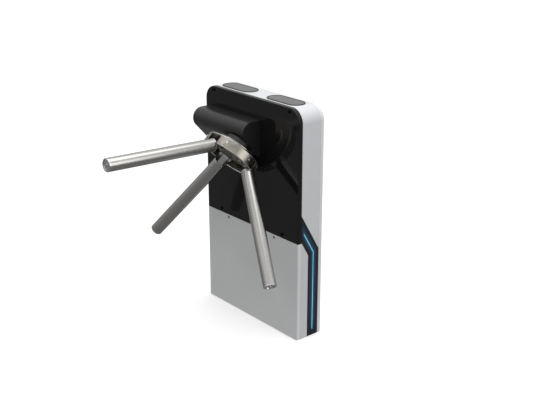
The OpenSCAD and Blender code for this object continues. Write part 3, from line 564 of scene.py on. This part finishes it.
# Domed caps with a hexagon socket on both ends of each hinge pin
bm = bmesh.new()
for k in range(3):
    for side in (-1, 1):
        place = arm_place(k, 0) @ moved(side * PIN_END, 0, 0) @ turned_by(90 * side, "Y")
        socket_screw(bm, place, 9 * MM, 2.4 * MM, 4 * MM, 1.8 * MM)
piece("pin_caps", bm, bright_steel, "rotor")

# Low screws round the shroud, and the rolled beads on its two edges
bm = bmesh.new()
for k in range(3):
    for turn in (32, 88):
        around = rotor_place(SHROUD_SCREW_S) @ turned_by(turn + 120 * k, "Z")
        place = around @ moved(0, 121.6 * MM, 0) @ turned_by(-90, "X")
        socket_screw(bm, place, 4.6 * MM, 1.8 * MM, 2.4 * MM, 1.4 * MM)
piece("shroud_screws", bm, bright_steel, "rotor")
bm = bmesh.new()
lathe(bm, bead_profile(121.3 * MM, 1.2 * MM), rotor_place(55.4 * MM), 160)
for k in range(3):
    arc_bead(bm, rotor_place(94 * MM), 119 * MM, 2.9 * MM, 15.5 + 120 * k, 104.5 + 120 * k)
piece("shroud_beads", bm, bright_steel, "rotor")

# Each arm: a bright seam bead where the tube meets its root, and a dimpled centre in the dished cap
for k, body in enumerate(ARM_BODIES):
    bm = bmesh.new()
    lathe(bm, bead_profile(26.9 * MM, 0.8 * MM), arm_place(k, TUBE_START), 96)
    lathe(bm, [(0, -0.5 * MM), (5.8 * MM, -0.5 * MM), (5.8 * MM, 0.1 * MM), (5.2 * MM, 0.3 * MM),
               (3.4 * MM, 0.4 * MM), (2.4 * MM, -0.1 * MM), (0, -0.3 * MM)], arm_place(k, ARM_END), 48)
    piece(f"arm_{k + 1}_trim", bm, cap_steels[k], body)

# Black plugs over the screws of the glossy cover
bm = bmesh.new()
for x, z in ((243, 984.5), (202.5, 455)):
    for side in (-1, 1):
        place = moved(side * x * MM, PANEL_Y, z * MM) @ turned_by(90, "X")
        socket_screw(bm, place, 7.5 * MM, 3.2 * MM, 3.2 * MM, 0.7 * MM)
piece("panel_plugs", bm, plug_black, "cabinet")

# Bright core along each light guide
bm = bmesh.new()
for side in (-1, 1):
    path = [Vector((side * GUIDE_X, y * MM, z * MM)) for y, z in LIGHT_LINE]
    strip(bm, path, (side, 0, 0), 1.1 * MM, -0.2 * MM, 0.3 * MM)
piece("light_cores", bm, core_blue, "cabinet")

# Black rubber bead round the hood's foot, a painted shadow line where the hood meets the panel, and thin
# gaskets round the reader windows
bm = bmesh.new()
hood_low, hood_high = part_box("hood")
outline = [
    (hood_low.x, hood_low.z), (hood_high.x, hood_low.z), (hood_high.x, hood_high.z), (hood_low.x, hood_high.z)
]
foot = [Vector((x, hood_high.y, z)) for x, z in outline]
# Dark bead where the hood's foot meets the panel: a painted shadow line
strip(bm, foot, (0, -1, 0), 1.2 * MM, -0.1 * MM, 1.4 * MM, closed=True)
piece("hood_shadow_bead", bm, rubber, "cabinet")
bm = bmesh.new()
for side in (-1, 1):
    path = []
    for end in (-1, 1):
        for i in range(25):
            turn = math.radians(-90 + 180 * i / 24)
            x = side * WINDOW_X + end * (WINDOW_HALF + WINDOW_R * math.cos(turn))
            path.append(Vector((x, end * WINDOW_R * math.sin(turn), WINDOW_TOP)))
    strip(bm, path, (0, 0, 1), 0.8 * MM, -0.4 * MM, 0.5 * MM, closed=True)
piece("window_gaskets", bm, rubber, "cabinet")


# ---- Floor and light ----

floor_mesh = bpy.data.meshes.new("floor")
floor_bm = bmesh.new()
bmesh.ops.create_grid(floor_bm, x_segments=1, y_segments=1, size=30)
floor_bm.to_mesh(floor_mesh)
floor_bm.free()
floor = bpy.data.objects.new("floor", floor_mesh)
scene.collection.objects.link(floor)
floor_look = Nodes("floor_white", color=(0.86, 0.86, 0.86), roughness=0.9)
floor_look.shader.inputs["Emission Color"].default_value = (1, 1, 1, 1)
floor_look.shader.inputs["Emission Strength"].default_value = 0.33
floor_mesh.materials.append(floor_look.material)
floor.visible_diffuse = False
floor.visible_glossy = False

world = bpy.data.worlds.new("studio")
scene.world = world
world.use_nodes = True
tree = world.node_tree
backdrop = tree.nodes["Background"]
direction = tree.nodes.new("ShaderNodeTexCoord")
split = tree.nodes.new("ShaderNodeSeparateXYZ")
ramp = tree.nodes.new("ShaderNodeValToRGB")
remap = tree.nodes.new("ShaderNodeMapRange")
remap.inputs["From Min"].default_value = -1
remap.inputs["From Max"].default_value = 1
tree.links.new(direction.outputs["Generated"], split.inputs[0])
tree.links.new(split.outputs["Z"], remap.inputs["Value"])
tree.links.new(remap.outputs["Result"], ramp.inputs["Fac"])
SKY = [(0.0, 0.22), (0.40, 0.26), (0.52, 0.32), (0.66, 0.62), (0.80, 0.92), (1.0, 0.84)]
for i, (position, level) in enumerate(SKY):
    element = ramp.color_ramp.elements[i] if i < 2 else ramp.color_ramp.elements.new(position)
    element.position = position
    element.color = (level, level, level, 1)
seen = tree.nodes.new("ShaderNodeBackground")
seen.inputs["Color"].default_value = (1, 1, 1, 1)
pick = tree.nodes.new("ShaderNodeMixShader")
ray = tree.nodes.new("ShaderNodeLightPath")
tree.links.new(ramp.outputs["Color"], backdrop.inputs["Color"])
tree.links.new(ray.outputs["Is Camera Ray"], pick.inputs["Fac"])
tree.links.new(backdrop.outputs[0], pick.inputs[1])
tree.links.new(seen.outputs[0], pick.inputs[2])
tree.links.new(pick.outputs[0], tree.nodes["World Output"].inputs["Surface"])


def softbox(name, location, target, size, power):
    data = bpy.data.lights.new(name, "AREA")
    data.shape = "RECTANGLE"
    data.size, data.size_y = size
    data.energy = power
    light = bpy.data.objects.new(name, data)
    scene.collection.objects.link(light)
    light.location = location
    aim = Vector(target) - Vector(location)
    light.rotation_euler = aim.to_track_quat("-Z", "Y").to_euler()


softbox("top_light", (0.2, 0.1, 3.2), (0, 0, 0.6), (2.4, 2.4), 31)
softbox("right_light", (3.2, 0.6, 1.6), (0, 0, 0.6), (1.6, 2.2), 22)

scene.view_settings.view_transform = "Standard"
